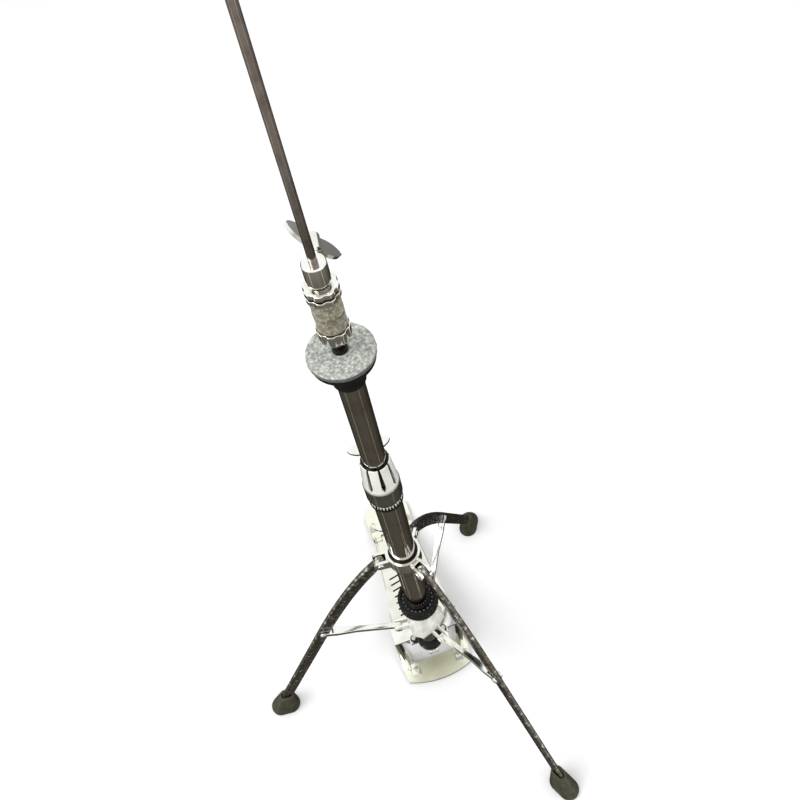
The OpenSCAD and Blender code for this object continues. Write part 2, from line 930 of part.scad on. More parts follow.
// Cast clamp on top of the lower tube: a finned cone over a cylinder, and a boss behind
module height_clamp() {
    color("gainsboro")
    difference() {
        union() {
            turned([
                [0, 583.2], [17.8, 583.2], [17.8, 604], [17, 607],
                [15.6, 624], [13.9, 643], [0, 643]
            ]);
            toward(clamp_bolt_az)
                translate([10, 0, clamp_bolt_z])
                    rotate([0, 90, 0])
                        cylinder(r = 7, h = 22, $fn = 48);
        }
        translate([0, 0, 500])
            cylinder(r = lower_r + seated, h = 100.2);
        translate([0, 0, 500])
            cylinder(r = lower_r - tube_wall, h = 200);
        for (i = [0:7])
            rotate([0, 0, -90 + 45 * i])
                translate([11.5, 0, 0])
                    rotate([90, 0, 90])
                        linear_extrude(10)
                            polygon([[-0.8, 650], [-2.2, 614], [0, 609], [2.2, 614], [0.8, 650]]);
        toward(clamp_bolt_az)
            translate([5, 0, clamp_bolt_z])
                rotate([0, 90, 0])
                    cylinder(r = 3 + play, h = 40, $fn = 48);
    }
}

// Plain black ring under the clamp, with a notched edge
module clamp_band() {
    color("#181818")
    difference() {
        ring(16.8, lower_r + seated, 570, 583);
        for (i = [0:23])
            rotate([0, 0, 15 * i])
                translate([17.2, 0, 575])
                    cylinder(r = 1.1, h = 5, $fn = 24);
    }
}

// Nylon bush that the upper tube slides in
module clamp_bush() {
    color("ivory")
        ring(lower_r - tube_wall - seated, upper_r + play, 560, 641);
}

module clamp_wing_bolt() {
    color("gainsboro")
        toward(clamp_bolt_az)
            translate([0, 0, clamp_bolt_z])
                wing_bolt(lower_r - tube_wall + 0.1, 34, 3, 46, 22, 13, 0);
}

// ---- upper tube and cymbal seat ----

module upper_tube() {
    color("#5a5a55")
        ring(upper_r, upper_r - 1.2, upper_tube_top - upper_tube_len, upper_tube_top);
}

// Black cup on top of the upper tube
module seat_cup() {
    color("#141414")
    difference() {
        turned([
            [5.7, 764], [12.9, 764], [13.4, 765], [13.4, 782.5], [15.5, 786.5], [24.2, 789],
            [25, 790], [25, 793.6], [24.2, 794.6], [5.7, 794.6]
        ]);
        translate([0, 0, 700])
            cylinder(r = upper_r + seated, h = upper_tube_top - 700 + 0.1);
    }
}

module seat_felt() {
    color("#a9aca6")
        ring(seat_felt_r, 5.9, 794.7, seat_top);
}

// Sleeve that guides the rod and centres the lower cymbal
module seat_sleeve() {
    color("#101010")
        ring(5.65, upper_rod_r + play, 770, seat_top + 3);
}

// ---- clutch ----

module clutch_body() {
    color("gainsboro")
    difference() {
        turned([
            [upper_rod_r + play, 872], [7.6, 872], [8.6, 874], [8.6, 889],
            [7.8, 890], [upper_rod_r + play, 890]
        ]);
        translate([0, 0, 860])
            cylinder(r = 5.8 + seated, h = 16);
        toward(clutch_bolt_az)
            translate([0, 0, clutch_bolt_z])
                rotate([0, 90, 0])
                    cylinder(r = 2.5 + play, h = 20, $fn = 48);
    }
}

// Threaded tube that the felts and the nuts sit on
module clutch_tube() {
    color("silver")
        ring(5.8, upper_rod_r + 0.35, clutch_z + 1, 875.9);
}

module clutch_wing_bolt() {
    color("gainsboro")
        toward(clutch_bolt_az)
            translate([0, 0, clutch_bolt_z])
                wing_bolt(upper_rod_r + 0.4, 17, 2.5, 27, 24, 13, 52);
}

module clutch_top_nut() {
    color("gainsboro")
        scalloped_nut(865, 869.4, 8);
}

module clutch_lock_nut() {
    color("gainsboro")
        scalloped_nut(859, 863, 8);
}

// Two felts that press on the upper cymbal
module clutch_felts() {
    color("#8a7f6c") {
        ring(11.4, 6, clutch_z + 10.4, clutch_z + 25);
        ring(11.4, 6, clutch_z + 25.2, clutch_z + 40.6);
    }
}

module clutch_bottom_nut() {
    color("gainsboro")
        scalloped_nut(clutch_z, clutch_z + 10.2, 8);
}

base_frame();
floor_pads();
column_yoke();
yoke_bolts();
column_socket();
heel_plate();
radius_rods();
heel_hinge_pin();
footboard();
toe_bracket();
toe_pin();
pull_link();
rod_clevis();
clevis_pin();
bottom_bush();
lower_tube();
hub_retainers();
brace_hub();
brace_pins();
brace_front();
brace_back();
brace_left();
rivet_front();
rivet_back();
rivet_left();
tension_dial();
dial_retainer();
spring_seat();
return_spring();
rod_collar();
lower_rod();
rod_coupler();
upper_rod();
leg_collar();
collar_bush();
collar_wing_bolt();
leg_pins();
leg_front();
leg_back();
leg_left();
foot_front();
foot_back();
foot_left();
height_clamp();
clamp_band();
clamp_bush();
clamp_wing_bolt();
upper_tube();
seat_cup();
seat_felt();
seat_sleeve();
clutch_body();
clutch_tube();
clutch_wing_bolt();
clutch_top_nut();
clutch_lock_nut();
clutch_felts();
clutch_bottom_nut();
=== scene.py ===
import json
import math
import bmesh
import bpy
from mathutils import Matrix, Vector, noise


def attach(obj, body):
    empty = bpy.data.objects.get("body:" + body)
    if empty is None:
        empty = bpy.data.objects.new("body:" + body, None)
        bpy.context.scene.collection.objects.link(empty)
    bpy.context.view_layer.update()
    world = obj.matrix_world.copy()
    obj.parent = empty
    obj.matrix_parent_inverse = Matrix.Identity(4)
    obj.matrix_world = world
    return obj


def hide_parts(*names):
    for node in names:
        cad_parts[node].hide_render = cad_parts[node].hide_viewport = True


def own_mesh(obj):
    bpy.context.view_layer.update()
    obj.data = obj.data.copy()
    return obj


MM = 0.001
# Stage, in metres
FLOOR_RADIUS = 17
FLOOR_GAP = 0.0008
BACKDROP_RADIUS = 16.9
# The legs' directions round the column, in degrees
LEG_AZIMUTH = {"front": -62.5, "back": 58.4, "left": 174.5}
# A leg's line as (distance from the column's axis, height) in millimetres: pivot, bend, knee, floor
LEG_PIVOT, LEG_LEAN = Vector((28, 430)), Vector((69.6, 387.7))
LEG_KNEE, LEG_FLOOR = Vector((129.9, 260.7)), Vector((253.6, 0))
# A foot's toe slope as (centre, radius, height) of its round at the top and at the bottom
TOE_TOP, TOE_BOTTOM = (235.5, 8.6, 38), (252, 14.6, 5)
FOOT_TOP = 46
# Distance from the column's axis of the middle of a foot's socket
SOCKET_R = 232.2
# The groove on top of the dial, in millimetres, and its number of studs
DIAL_GROOVE_R, DIAL_GROOVE_Z = 18.4, 297.2
STUDS = 22
# The footboard's hinge in metres, and its slope in degrees
BOARD_HINGE = (0, 0.226, 0.02)
BOARD_SLOPE = 20.4
# Heights in metres where the colour changes: the clamp's band, the notches and the top of the
# painted shade on the felt's side
CLAMP_BAND_TOP = 0.604
NOTCH_LOW, NOTCH_HIGH = 0.5735, 0.5795
FELT_SHADE_TOP = 0.7995

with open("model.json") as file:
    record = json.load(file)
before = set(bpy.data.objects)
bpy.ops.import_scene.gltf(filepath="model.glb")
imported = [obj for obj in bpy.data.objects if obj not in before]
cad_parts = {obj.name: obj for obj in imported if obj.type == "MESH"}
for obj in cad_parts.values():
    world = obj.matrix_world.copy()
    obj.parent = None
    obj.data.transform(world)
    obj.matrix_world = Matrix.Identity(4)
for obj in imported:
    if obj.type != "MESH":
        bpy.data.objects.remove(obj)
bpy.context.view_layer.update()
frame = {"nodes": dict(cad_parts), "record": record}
scene = bpy.context.scene
NODES = frame["nodes"]
BODY = {
    node: body
    for body, nodes in frame["record"]["behaviour"]["bodies"].items()
    for node in nodes
}

# ---- stage ----


def make_camera():
    """The photograph's viewpoint: high above the front, looking down the column."""
    data = bpy.data.cameras.new("camera")
    camera = bpy.data.objects.new("camera", data)
    scene.collection.objects.link(camera)
    forward = Vector((0.0705, 0.5743, -0.8156)).normalized()
    right = Vector((0.9454, -0.2995, -0.1292))
    right = (right - forward * right.dot(forward)).normalized()
    up = right.cross(forward)
    place = Matrix((right, up, -forward)).transposed().to_4x4()
    place.translation = Vector((-0.0104, -0.3628, 1.2317))
    camera.matrix_world = place
    data.lens = 34.93
    data.sensor_width = 36
    data.clip_start = 0.005
    scene.camera = camera


def add(tree, kind, **values):
    """A new node. Plain names set its properties."""
    node = tree.nodes.new(kind)
    for key, value in values.items():
        setattr(node, key, value)
    return node


def math_node(tree, operation, *values):
    """One step of arithmetic on numbers and sockets."""
    node = add(tree, "ShaderNodeMath", operation=operation)
    for socket, value in zip(node.inputs, values):
        if isinstance(value, (int, float)):
            socket.default_value = value
        else:
            tree.links.new(value, socket)
    return node.outputs[0]


def ramp(tree, value, stops):
    """Colour ramp with stops of (position, grey level or colour)."""
    node = add(tree, "ShaderNodeValToRGB")
    tree.links.new(value, node.inputs[0])
    points = node.color_ramp.elements
    while len(points) < len(stops):
        points.new(0.5)
    for point, (place, colour) in zip(points, stops):
        point.position = place
        point.color = (*colour, 1) if isinstance(colour, tuple) else (colour, colour, colour, 1)
    return node.outputs[0]


def make_world():
    """Studio surroundings: bright above, dark brown-grey below, with a few thin strip lights."""
    world = bpy.data.worlds.new("studio")
    world.use_nodes = True
    scene.world = world
    tree = world.node_tree
    coord = add(tree, "ShaderNodeTexCoord")
    parts = add(tree, "ShaderNodeSeparateXYZ")
    tree.links.new(coord.outputs["Generated"], parts.inputs[0])
    height = math_node(tree, "MULTIPLY_ADD", parts.outputs[2], 0.5, 0.5)
    sky = ramp(tree, height, [
        (0.0, (0.1, 0.092, 0.078)), (0.13, (0.115, 0.106, 0.09)),
        (0.165, (0.2, 0.19, 0.165)), (0.2, (0.5, 0.49, 0.45)),
        (0.3, (0.62, 0.61, 0.57)), (0.44, (0.5, 0.49, 0.47)),
        (0.5, (0.78, 0.78, 0.76)), (0.56, 0.98), (1.0, 1.0),
    ])
    turn = math_node(tree, "ARCTAN2", parts.outputs[1], parts.outputs[0])
    turn = math_node(tree, "DIVIDE", turn, 2 * math.pi)
    turn = math_node(tree, "ADD", turn, 0.5)
    strips = ramp(tree, turn, [
        (0.0, 0.15), (0.035, 0.15), (0.042, 0.75), (0.046, 0.75), (0.053, 0.16), (0.24, 0.19),
        (0.352, 0.15), (0.357, 0.7), (0.362, 0.7), (0.367, 0.15), (0.45, 0.14),
        (0.468, (0.17, 0.122, 0.115)), (0.482, (0.17, 0.122, 0.115)), (0.5, 0.1), (0.6, 0.05),
        (0.84, 0.04), (0.93, 0.14), (1.0, 0.15),
    ])
    below = ramp(tree, height, [(0.0, 1.0), (0.47, 1.0), (0.58, 0.0)])
    glow = add(tree, "ShaderNodeMix", data_type="RGBA", blend_type="MULTIPLY")
    lifted = add(tree, "ShaderNodeMix", data_type="RGBA", blend_type="MULTIPLY")
    lifted.inputs[0].default_value = 1.0
    tree.links.new(strips, lifted.inputs[6])
    lifted.inputs[7].default_value = (6, 6, 6, 1)
    tree.links.new(below, glow.inputs[0])
    tree.links.new(sky, glow.inputs[6])
    tree.links.new(lifted.outputs[2], glow.inputs[7])
    tree.links.new(glow.outputs[2], tree.nodes["Background"].inputs[0])
    tree.nodes["Background"].inputs[1].default_value = 1.0


def area_light(name, place, target, size, watts):
    """Square soft light that the camera itself doesn't see."""
    data = bpy.data.lights.new(name, "AREA")
    data.energy = watts
    data.size = size
    light = bpy.data.objects.new(name, data)
    light.location = place
    light.rotation_euler = (Vector(target) - Vector(place)).to_track_quat("-Z", "Y").to_euler()
    light.visible_camera = False
    scene.collection.objects.link(light)


def make_floor():
    """Plain pale floor. Mirrors don't show it, so that the chrome keeps its dark studio."""
    bpy.ops.mesh.primitive_circle_add(
        vertices=96, radius=FLOOR_RADIUS, fill_type="NGON", location=(0, 0, -FLOOR_GAP)
    )
    floor = bpy.context.object
    floor.name = "floor"
    floor.visible_glossy = False
    mat = bpy.data.materials.new("floor_pale")
    mat.use_nodes = True
    tree = mat.node_tree
    bsdf = tree.nodes["Principled BSDF"]
    texture = add(tree, "ShaderNodeTexNoise")
    texture.inputs["Scale"].default_value = 2
    shade = ramp(tree, texture.outputs["Fac"], [
        (0.3, (0.9, 0.9, 0.905)), (0.7, (0.925, 0.925, 0.93)),
    ])
    tree.links.new(shade, bsdf.inputs["Base Color"])
    bsdf.inputs["Roughness"].default_value = 0.9
    bsdf.inputs["Specular IOR Level"].default_value = 0.1
    floor.data.materials.append(mat)


def make_backdrop():
    """A plain pale wall far behind everything. It doesn't light the object."""
    bpy.ops.mesh.primitive_uv_sphere_add(
        segments=64, ring_count=32, radius=BACKDROP_RADIUS, location=(0, 0, 0)
    )
    backdrop = bpy.context.object
    backdrop.name = "backdrop"
    for way in ("glossy", "diffuse", "transmission", "shadow", "volume_scatter"):
        setattr(backdrop, "visible_" + way, False)
    mat = bpy.data.materials.new("backdrop_pale")
    mat.use_nodes = True
    bsdf = mat.node_tree.nodes["Principled BSDF"]
    bsdf.inputs["Base Color"].default_value = (0, 0, 0, 1)
    bsdf.inputs["Specular IOR Level"].default_value = 0
    bsdf.inputs["Emission Color"].default_value = (0.93, 0.93, 0.935, 1)
    bsdf.inputs["Emission Strength"].default_value = 1.0
    backdrop.data.materials.append(mat)


# ---- materials ----


class Finish:
    """A procedural material. Sizes are in millimetres on the object."""

    def __init__(self, name, metallic):
        self.mat = bpy.data.materials.new(name)
        self.mat.use_nodes = True
        self.tree = self.mat.node_tree
        self.bsdf = self.tree.nodes["Principled BSDF"]
        self.bsdf.inputs["Metallic"].default_value = metallic
        self.coord = add(self.tree, "ShaderNodeTexCoord")
        self.normal = None

    def grain(self, size, detail=4.0, stretch=(1, 1, 1)):
        """Noise whose features are about size millimetres."""
        mapping = add(self.tree, "ShaderNodeMapping")
        mapping.inputs["Scale"].default_value = stretch
        self.tree.links.new(self.coord.outputs["Object"], mapping.inputs[0])
        texture = add(self.tree, "ShaderNodeTexNoise")
        texture.inputs["Scale"].default_value = 1000 / size
        texture.inputs["Detail"].default_value = detail
        texture.inputs["Roughness"].default_value = 0.55
        self.tree.links.new(mapping.outputs[0], texture.inputs["Vector"])
        return texture.outputs[0]

    def paint(self, value, stops):
        """The base colour as a ramp over value."""
        self.tree.links.new(ramp(self.tree, value, stops), self.bsdf.inputs["Base Color"])

    def darken(self, tone):
        """Multiplies the colour so far by tone."""
        mix = add(self.tree, "ShaderNodeMix", data_type="RGBA", blend_type="MULTIPLY")
        mix.inputs[0].default_value = 1.0
        socket = self.bsdf.inputs["Base Color"]
        self.tree.links.new(socket.links[0].from_socket, mix.inputs[6])
        self.tree.links.new(tone, mix.inputs[7])
        self.tree.links.new(mix.outputs[2], socket)

    def part_of(self, output, index):
        """One coordinate of the position on the object or of the surface's direction."""
        parts = add(self.tree, "ShaderNodeSeparateXYZ")
        self.tree.links.new(self.coord.outputs[output], parts.inputs[0])
        return parts.outputs[index]

    def between(self, value, low, high, first, last):
        """From first to last as value goes from low to high."""
        node = add(self.tree, "ShaderNodeMapRange")
        for socket, number in zip(node.inputs[1:5], (low, high, first, last)):
            socket.default_value = number
        self.tree.links.new(value, node.inputs[0])
        return node.outputs[0]

    def shade_crevices(self, reach, dark):
        """Darkens inner corners and slots no wider than about reach millimetres."""
        occlusion = add(self.tree, "ShaderNodeAmbientOcclusion", samples=8)
        occlusion.inputs["Distance"].default_value = reach * MM
        self.darken(ramp(self.tree, occlusion.outputs["AO"], [(0.15, dark), (0.75, 1.0)]))

    def shade_edges(self, dark):
        """Painted shade: darkens the upright faces of sheet metal, as if they were out of the
        light.
        """
        upright = math_node(self.tree, "ABSOLUTE", self.part_of("Normal", 2))
        self.darken(self.between(upright, 0.12, 0.4, dark, 1.0))

    def gloss(self, value, low, high):
        """Roughness from low to high as value goes from 0.3 to 0.7."""
        self.tree.links.new(self.between(value, 0.3, 0.7, low, high), self.bsdf.inputs["Roughness"])

    def bump(self, value, depth, strength):
        """Relief of about depth millimetres."""
        node = add(self.tree, "ShaderNodeBump")
        node.inputs["Strength"].default_value = strength
        node.inputs["Distance"].default_value = depth * MM
        self.tree.links.new(value, node.inputs["Height"])
        if self.normal:
            self.tree.links.new(self.normal, node.inputs["Normal"])
        self.normal = node.outputs[0]
        self.tree.links.new(self.normal, self.bsdf.inputs["Normal"])


def metal(name, dark, light, rough, patch=18, grain=0.9, stretch=(1, 1, 1), relief=0.02,
          crevice=0, edges=0.0):
    """Plated or polished metal: cloudy tone and gloss, and a fine grain."""
    finish = Finish(name, 1.0)
    cloud = finish.grain(patch, 5)
    fine = finish.grain(grain, 3, stretch)
    finish.paint(cloud, [(0.3, dark), (0.52, light), (0.75, light)])
    finish.gloss(fine, *rough)
    finish.bump(fine, relief, 0.5)
    # Painted shade on upright faces, and in crevices below
    if edges:
        finish.shade_edges(edges)
    if crevice:
        finish.shade_crevices(crevice, 0.06)
    return finish.mat


def clamp_casting():
    """The clamp: its turned lower band is mirror chrome, its fins are pale satin."""
    finish = Finish("cast_metal_clamp", 1.0)
    cloud = finish.grain(12, 5)
    finish.paint(cloud, [(0.3, (0.84, 0.85, 0.77)), (0.6, (0.97, 0.97, 0.91))])
    finish.gloss(finish.grain(1.0, 3), 0.12, 0.26)
    height = finish.part_of("Object", 2)
    edge = (CLAMP_BAND_TOP, CLAMP_BAND_TOP + 0.004)
    finish.darken(finish.between(height, *edge, 0.5, 1.0))
    satin = finish.between(height, *edge, 1.0, 0.25)
    finish.tree.links.new(satin, finish.bsdf.inputs["Metallic"])
    finish.shade_crevices(4, 0.04)
    return finish.mat


def hub_casting():
    """The brace hub: pale satin plating that looks almost white from above."""
    finish = Finish("cast_metal_hub", 0.2)
    cloud = finish.grain(10, 5)
    finish.paint(cloud, [(0.3, (0.72, 0.73, 0.66)), (0.6, (0.9, 0.9, 0.84))])
    finish.gloss(finish.grain(1.0, 3), 0.14, 0.3)
    finish.shade_crevices(3, 0.05)
    return finish.mat


def notched_band():
    """Black moulded ring with a row of pale notches around it."""
    finish = Finish("black_band", 0.0)
    finish.bsdf.inputs["Specular IOR Level"].default_value = 0.25
    tree = finish.tree
    notches = 34
    turn = math_node(tree, "ARCTAN2", finish.part_of("Object", 1), finish.part_of("Object", 0))
    turn = math_node(tree, "FRACT", math_node(tree, "MULTIPLY", turn, notches / (2 * math.pi)))
    height = finish.part_of("Object", 2)
    slant = math_node(tree, "ABSOLUTE", math_node(tree, "SUBTRACT", turn, 0.5))
    wedge = finish.between(height, NOTCH_LOW, NOTCH_HIGH, 0.0, 0.42)
    mark = math_node(tree, "LESS_THAN", slant, wedge)
    low = math_node(tree, "GREATER_THAN", height, NOTCH_LOW)
    high = math_node(tree, "LESS_THAN", height, NOTCH_HIGH)
    mark = math_node(tree, "MULTIPLY", mark, math_node(tree, "MULTIPLY", low, high))
    finish.paint(mark, [(0.4, (0.008, 0.008, 0.0075)), (0.6, (0.62, 0.62, 0.52))])
    finish.gloss(finish.grain(1.2, 3), 0.2, 0.34)
    return finish.mat


def speckled_chrome():
    """Dark chrome with bright pits and faint brown patches, as on worn legs."""
    finish = Finish("chrome_dark", 1.0)
    pits = finish.grain(6, 6)
    brown = finish.grain(60, 2)
    tone = ramp(finish.tree, pits, [
        (0.36, (0.11, 0.105, 0.095)), (0.5, (0.21, 0.2, 0.18)), (0.59, (0.34, 0.33, 0.3)),
        (0.63, (0.9, 0.89, 0.83)),
    ])
    tint = ramp(finish.tree, brown, [(0.5, 1.0), (0.68, (1.0, 0.88, 0.78))])
    finish.tree.links.new(tone, finish.bsdf.inputs["Base Color"])
    finish.darken(tint)
    finish.gloss(pits, 0.14, 0.3)
    finish.bump(pits, 0.6, 0.6)
    return finish.mat


def plain(name, dark, light, rough, grain=0.7, relief=0.05, patch=9, specular=0.5):
    """Plastic, enamel or rubber: slightly uneven tone and a fine moulded texture."""
    finish = Finish(name, 0.0)
    finish.bsdf.inputs["Specular IOR Level"].default_value = specular
    fine = finish.grain(grain, 5)
    finish.paint(finish.grain(patch, 4), [(0.35, dark), (0.65, light)])
    finish.gloss(fine, *rough)
    finish.bump(fine, relief, 0.6)
    return finish.mat


def felt(name, dark, middle, light, shade_below=0.0):
    """Pressed felt: mottled fibres in two sizes with a soft nap, with painted shade darkening its
    side and underside below that height.
    """
    finish = Finish(name, 0.0)
    clump = finish.grain(2.4, 6)
    fibre = finish.grain(0.5, 4, (1, 1, 2))
    share = math_node(finish.tree, "MULTIPLY", clump, 0.55)
    both = math_node(finish.tree, "MULTIPLY_ADD", fibre, 0.45, share)
    finish.paint(both, [(0.36, dark), (0.5, middle), (0.64, light)])
    # Painted shade: the felt's side and underside below that height are darkened, as if out of the
    # light
    if shade_below:
        height = finish.part_of("Object", 2)
        finish.darken(
            finish.between(height, shade_below - 0.001, shade_below + 0.0006, 0.13, 1.0)
        )
    finish.bsdf.inputs["Roughness"].default_value = 0.95
    finish.bsdf.inputs["Sheen Weight"].default_value = 0.2
    finish.bsdf.inputs["Sheen Roughness"].default_value = 0.6
    finish.bump(clump, 0.45, 0.8)
    finish.bump(fibre, 0.25, 0.8)
    return finish.mat


MATERIALS = {
    "base_steel": metal(
        "base_steel", (0.86, 0.86, 0.7), (0.95, 0.95, 0.81), (0.26, 0.36), 40, crevice=3, edges=0.1
    ),
    "chrome_bright": metal(
        "chrome_bright", (0.84, 0.84, 0.78), (0.97, 0.97, 0.93), (0.06, 0.13), crevice=2
    ),
    "chrome_dark": speckled_chrome(),
    "tube_chrome": metal(
        "tube_chrome", (0.42, 0.4, 0.34), (0.54, 0.51, 0.45), (0.06, 0.14), 24, 2.5,
        (1, 1, 0.03), 0.012
    ),
    "rod_steel": metal(
        "rod_steel", (0.19, 0.155, 0.14), (0.27, 0.235, 0.215), (0.09, 0.18), 12, 1.6,
        (1, 1, 0.04), 0.02
    ),
    "zinc_steel": metal("zinc_steel", (0.55, 0.55, 0.52), (0.72, 0.72, 0.69), (0.24, 0.4)),
    "board_metal": metal(
        "board_metal", (0.8, 0.8, 0.7), (0.92, 0.92, 0.83), (0.18, 0.28), 26, 1.2,
        crevice=5, edges=0.3
    ),
    "cast_metal": metal(
        "cast_metal", (0.8, 0.81, 0.72), (0.95, 0.95, 0.89), (0.08, 0.18), 14, crevice=3
    ),
    "cast_metal_clamp": clamp_casting(),
    "cast_metal_hub": hub_casting(),
    "black_cast": plain(
        "black_cast", (0.006, 0.006, 0.006), (0.012, 0.012, 0.011), (0.14, 0.28), 1.4, 0.04, 9, 0.22
    ),
    "black_plastic": plain(
        "black_plastic", (0.004, 0.004, 0.004), (0.009, 0.009, 0.0085), (0.12, 0.24), 1.1, 0.03,
        9, 0.22
    ),
    "black_band": notched_band(),
    # Grey for the dial's studs: painted glints on the black dial
    "dial_stud_glint": plain("dial_stud_glint", (0.2, 0.2, 0.19), (0.3, 0.3, 0.29), (0.15, 0.3)),
    # Near black: painted shade standing for the dark inside the footboard's slots
    "slot_shade": plain(
        "slot_shade", (0.003, 0.003, 0.003), (0.006, 0.006, 0.006), (0.7, 0.9), 1.2, 0.1, 9, 0.05
    ),
    "rubber_black": plain(
        "rubber_black", (0.015, 0.015, 0.014), (0.03, 0.03, 0.028), (0.5, 0.7), 1.2, 0.12
    ),
    "rubber_olive": plain(
        "rubber_olive", (0.024, 0.023, 0.011), (0.055, 0.053, 0.028), (0.26, 0.42), 1.6, 0.14
    ),
    "felt_grey": felt(
        "felt_grey", (0.12, 0.135, 0.12), (0.36, 0.38, 0.345), (0.78, 0.8, 0.73), FELT_SHADE_TOP
    ),
    "felt_taupe": felt(
        "felt_taupe", (0.045, 0.04, 0.022), (0.17, 0.155, 0.1), (0.42, 0.39, 0.28)
    ),
}
SLOT = {
    "base_steel": "base_frame heel_plate radius_rods",
    "chrome_bright": "column_yoke heel_hinge_pin toe_pin pull_link clevis_pin brace_pins"
    " brace_front brace_back brace_left rivet_front rivet_back rivet_left collar_wing_bolt leg_pins"
    " clamp_wing_bolt clutch_wing_bolt clutch_top_nut clutch_lock_nut clutch_bottom_nut"
    " clutch_body hub_retainers",
    "chrome_dark": "leg_front leg_back leg_left",
    "tube_chrome": "lower_tube upper_tube",
    "rod_steel": "upper_rod clutch_tube",
    "zinc_steel": "yoke_bolts return_spring lower_rod rod_coupler rod_collar rod_clevis",
    "board_metal": "footboard toe_bracket",
    "cast_metal": "leg_collar",
    "cast_metal_hub": "brace_hub",
    "cast_metal_clamp": "height_clamp",
    "black_cast": "column_socket",
    "black_band": "clamp_band",
    "black_plastic": "tension_dial dial_retainer seat_cup seat_sleeve bottom_bush"
    " collar_bush clamp_bush spring_seat",
    "rubber_black": "floor_pads",
    "rubber_olive": "foot_front foot_back foot_left",
    "felt_grey": "seat_felt",
    "felt_taupe": "clutch_felts",
}
# Finishes of this scene that stand for a slot of the record
SLOT_OF = {node: slot for slot, nodes in SLOT.items() for node in nodes.split()}

# ---- shapes ----


def new_object(name, mesh, nodes, body=None, smooth_angle=45, slot=None):
    """Turns a bmesh into an object in the place of the CAD nodes."""
    bmesh.ops.recalc_face_normals(mesh, faces=mesh.faces)
    for face in mesh.faces:
        face.smooth = True
    for edge in mesh.edges:
        edge.smooth = edge.calc_face_angle(0) < math.radians(smooth_angle)
    data = bpy.data.meshes.new(name)
    mesh.to_mesh(data)
    mesh.free()
    obj = bpy.data.objects.new(name, data)
    scene.collection.objects.link(obj)
    slot = slot or SLOT_OF[nodes[0]]
    data.materials.append(MATERIALS[slot])
    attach(obj, body or BODY[nodes[0]])
    if nodes:
        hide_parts(*nodes)
    return obj


def eased(node, width):
    """The CAD node's shape with its hard edges rounded, so that they catch the light."""
    mesh = bmesh.new()
    mesh.from_mesh(NODES[node].data)
    bmesh.ops.remove_doubles(mesh, verts=mesh.verts, dist=3e-6)
    bmesh.ops.dissolve_limit(
        mesh, angle_limit=math.radians(0.5), verts=mesh.verts[:], edges=mesh.edges[:]
    )
    edges = [e for e in mesh.edges if e.calc_face_angle(0) > math.radians(28)]
    bmesh.ops.bevel(
        mesh, geom=edges, offset=width * MM, segments=2, profile=0.5, affect="EDGES",
        clamp_overlap=True,
    )
    obj = new_object(node + "_eased", mesh, [node])
    obj.modifiers.new("normals", "WEIGHTED_NORMAL").keep_sharp = True


def loops_to_faces(mesh, rings, close_path=False):
    """Skins a list of rings of vertices."""
    count = len(rings[0])
    pairs = list(zip(rings, rings[1:])) + ([(rings[-1], rings[0])] if close_path else [])
    for first, second in pairs:
        for j in range(count):
            k = (j + 1) % count
            mesh.faces.new((first[j], first[k], second[k], second[j]))


def arc(cx, cy, radius, start, end, steps):
    """Points of an arc from start to end degrees."""
    return [
        (cx + radius * math.cos(math.radians(start + (end - start) * i / steps)),
         cy + radius * math.sin(math.radians(start + (end - start) * i / steps)))
        for i in range(steps + 1)
    ]


def leg(side, azimuth):
    """Pressed channel with a rounded back, on the CAD leg's line, with its pivot eye."""
    line = [
        (1 - t) ** 2 * LEG_PIVOT + 2 * t * (1 - t) * LEG_LEAN + t * t * LEG_KNEE
        for t in [i / 24 for i in range(25)]
    ]
    line += [LEG_KNEE.lerp(LEG_FLOOR, 0.95 * i / 30) for i in range(1, 31)]
    c, s = math.cos(math.radians(azimuth)), math.sin(math.radians(azimuth))
    mesh = bmesh.new()

    def vertex(r, z, w):
        return mesh.verts.new(((r * c - w * s) * MM, (r * s + w * c) * MM, z * MM))

    rings = []
    for i, point in enumerate(line):
        along = (line[min(i + 1, len(line) - 1)] - line[max(i - 1, 0)]).normalized()
        side_way = Vector((-along.y, along.x))
        # Across the leg: its rounded back, then its open side, which is closed near the pivot
        if i > 3:
            lip_side, lip_end = (-3, -7.1), (-2.7, -7.5)
            channel = [(1.6, -7.5), (1.6, 4.9), (0.9, 5.9), (-0.9, 5.9), (-1.6, 4.9), (-1.6, -7.5)]
        else:
            lip_side, lip_end = (-3, -6.0), (-1.8, -7.5)
            channel = [
                (0.9, -7.5), (0.9, -7.45), (0.3, -7.4), (-0.3, -7.4), (-0.9, -7.45), (-0.9, -7.5),
            ]
        outline = [lip_side, *arc(-0.4, 4.9, 2.6, 180, 90, 6), *arc(0.4, 4.9, 2.6, 90, 0, 6)]
        outline += [(3, lip_side[1]), (-lip_end[0], -7.5), *channel, lip_end]
        rings.append([vertex(*(point + side_way * n), w) for w, n in outline])
    loops_to_faces(mesh, rings)
    for ring in (rings[0], rings[-1]):
        mesh.faces.new(ring)
    eye = [
        (2.6, 3.4), (3.0, 3.8), (6.2, 3.8), (7.0, 3.0),
        (7.0, -3.0), (6.2, -3.8), (3.0, -3.8), (2.6, -3.4),
    ]
    turns = []
    for k in range(48):
        turn = 2 * math.pi * k / 48
        turns.append([
            vertex(LEG_PIVOT.x + radius * math.cos(turn), LEG_PIVOT.y + radius * math.sin(turn), w)
            for radius, w in eye
        ])
    loops_to_faces(mesh, turns, close_path=True)
    new_object("leg_" + side + "_pressed", mesh, ["leg_" + side], smooth_angle=50)


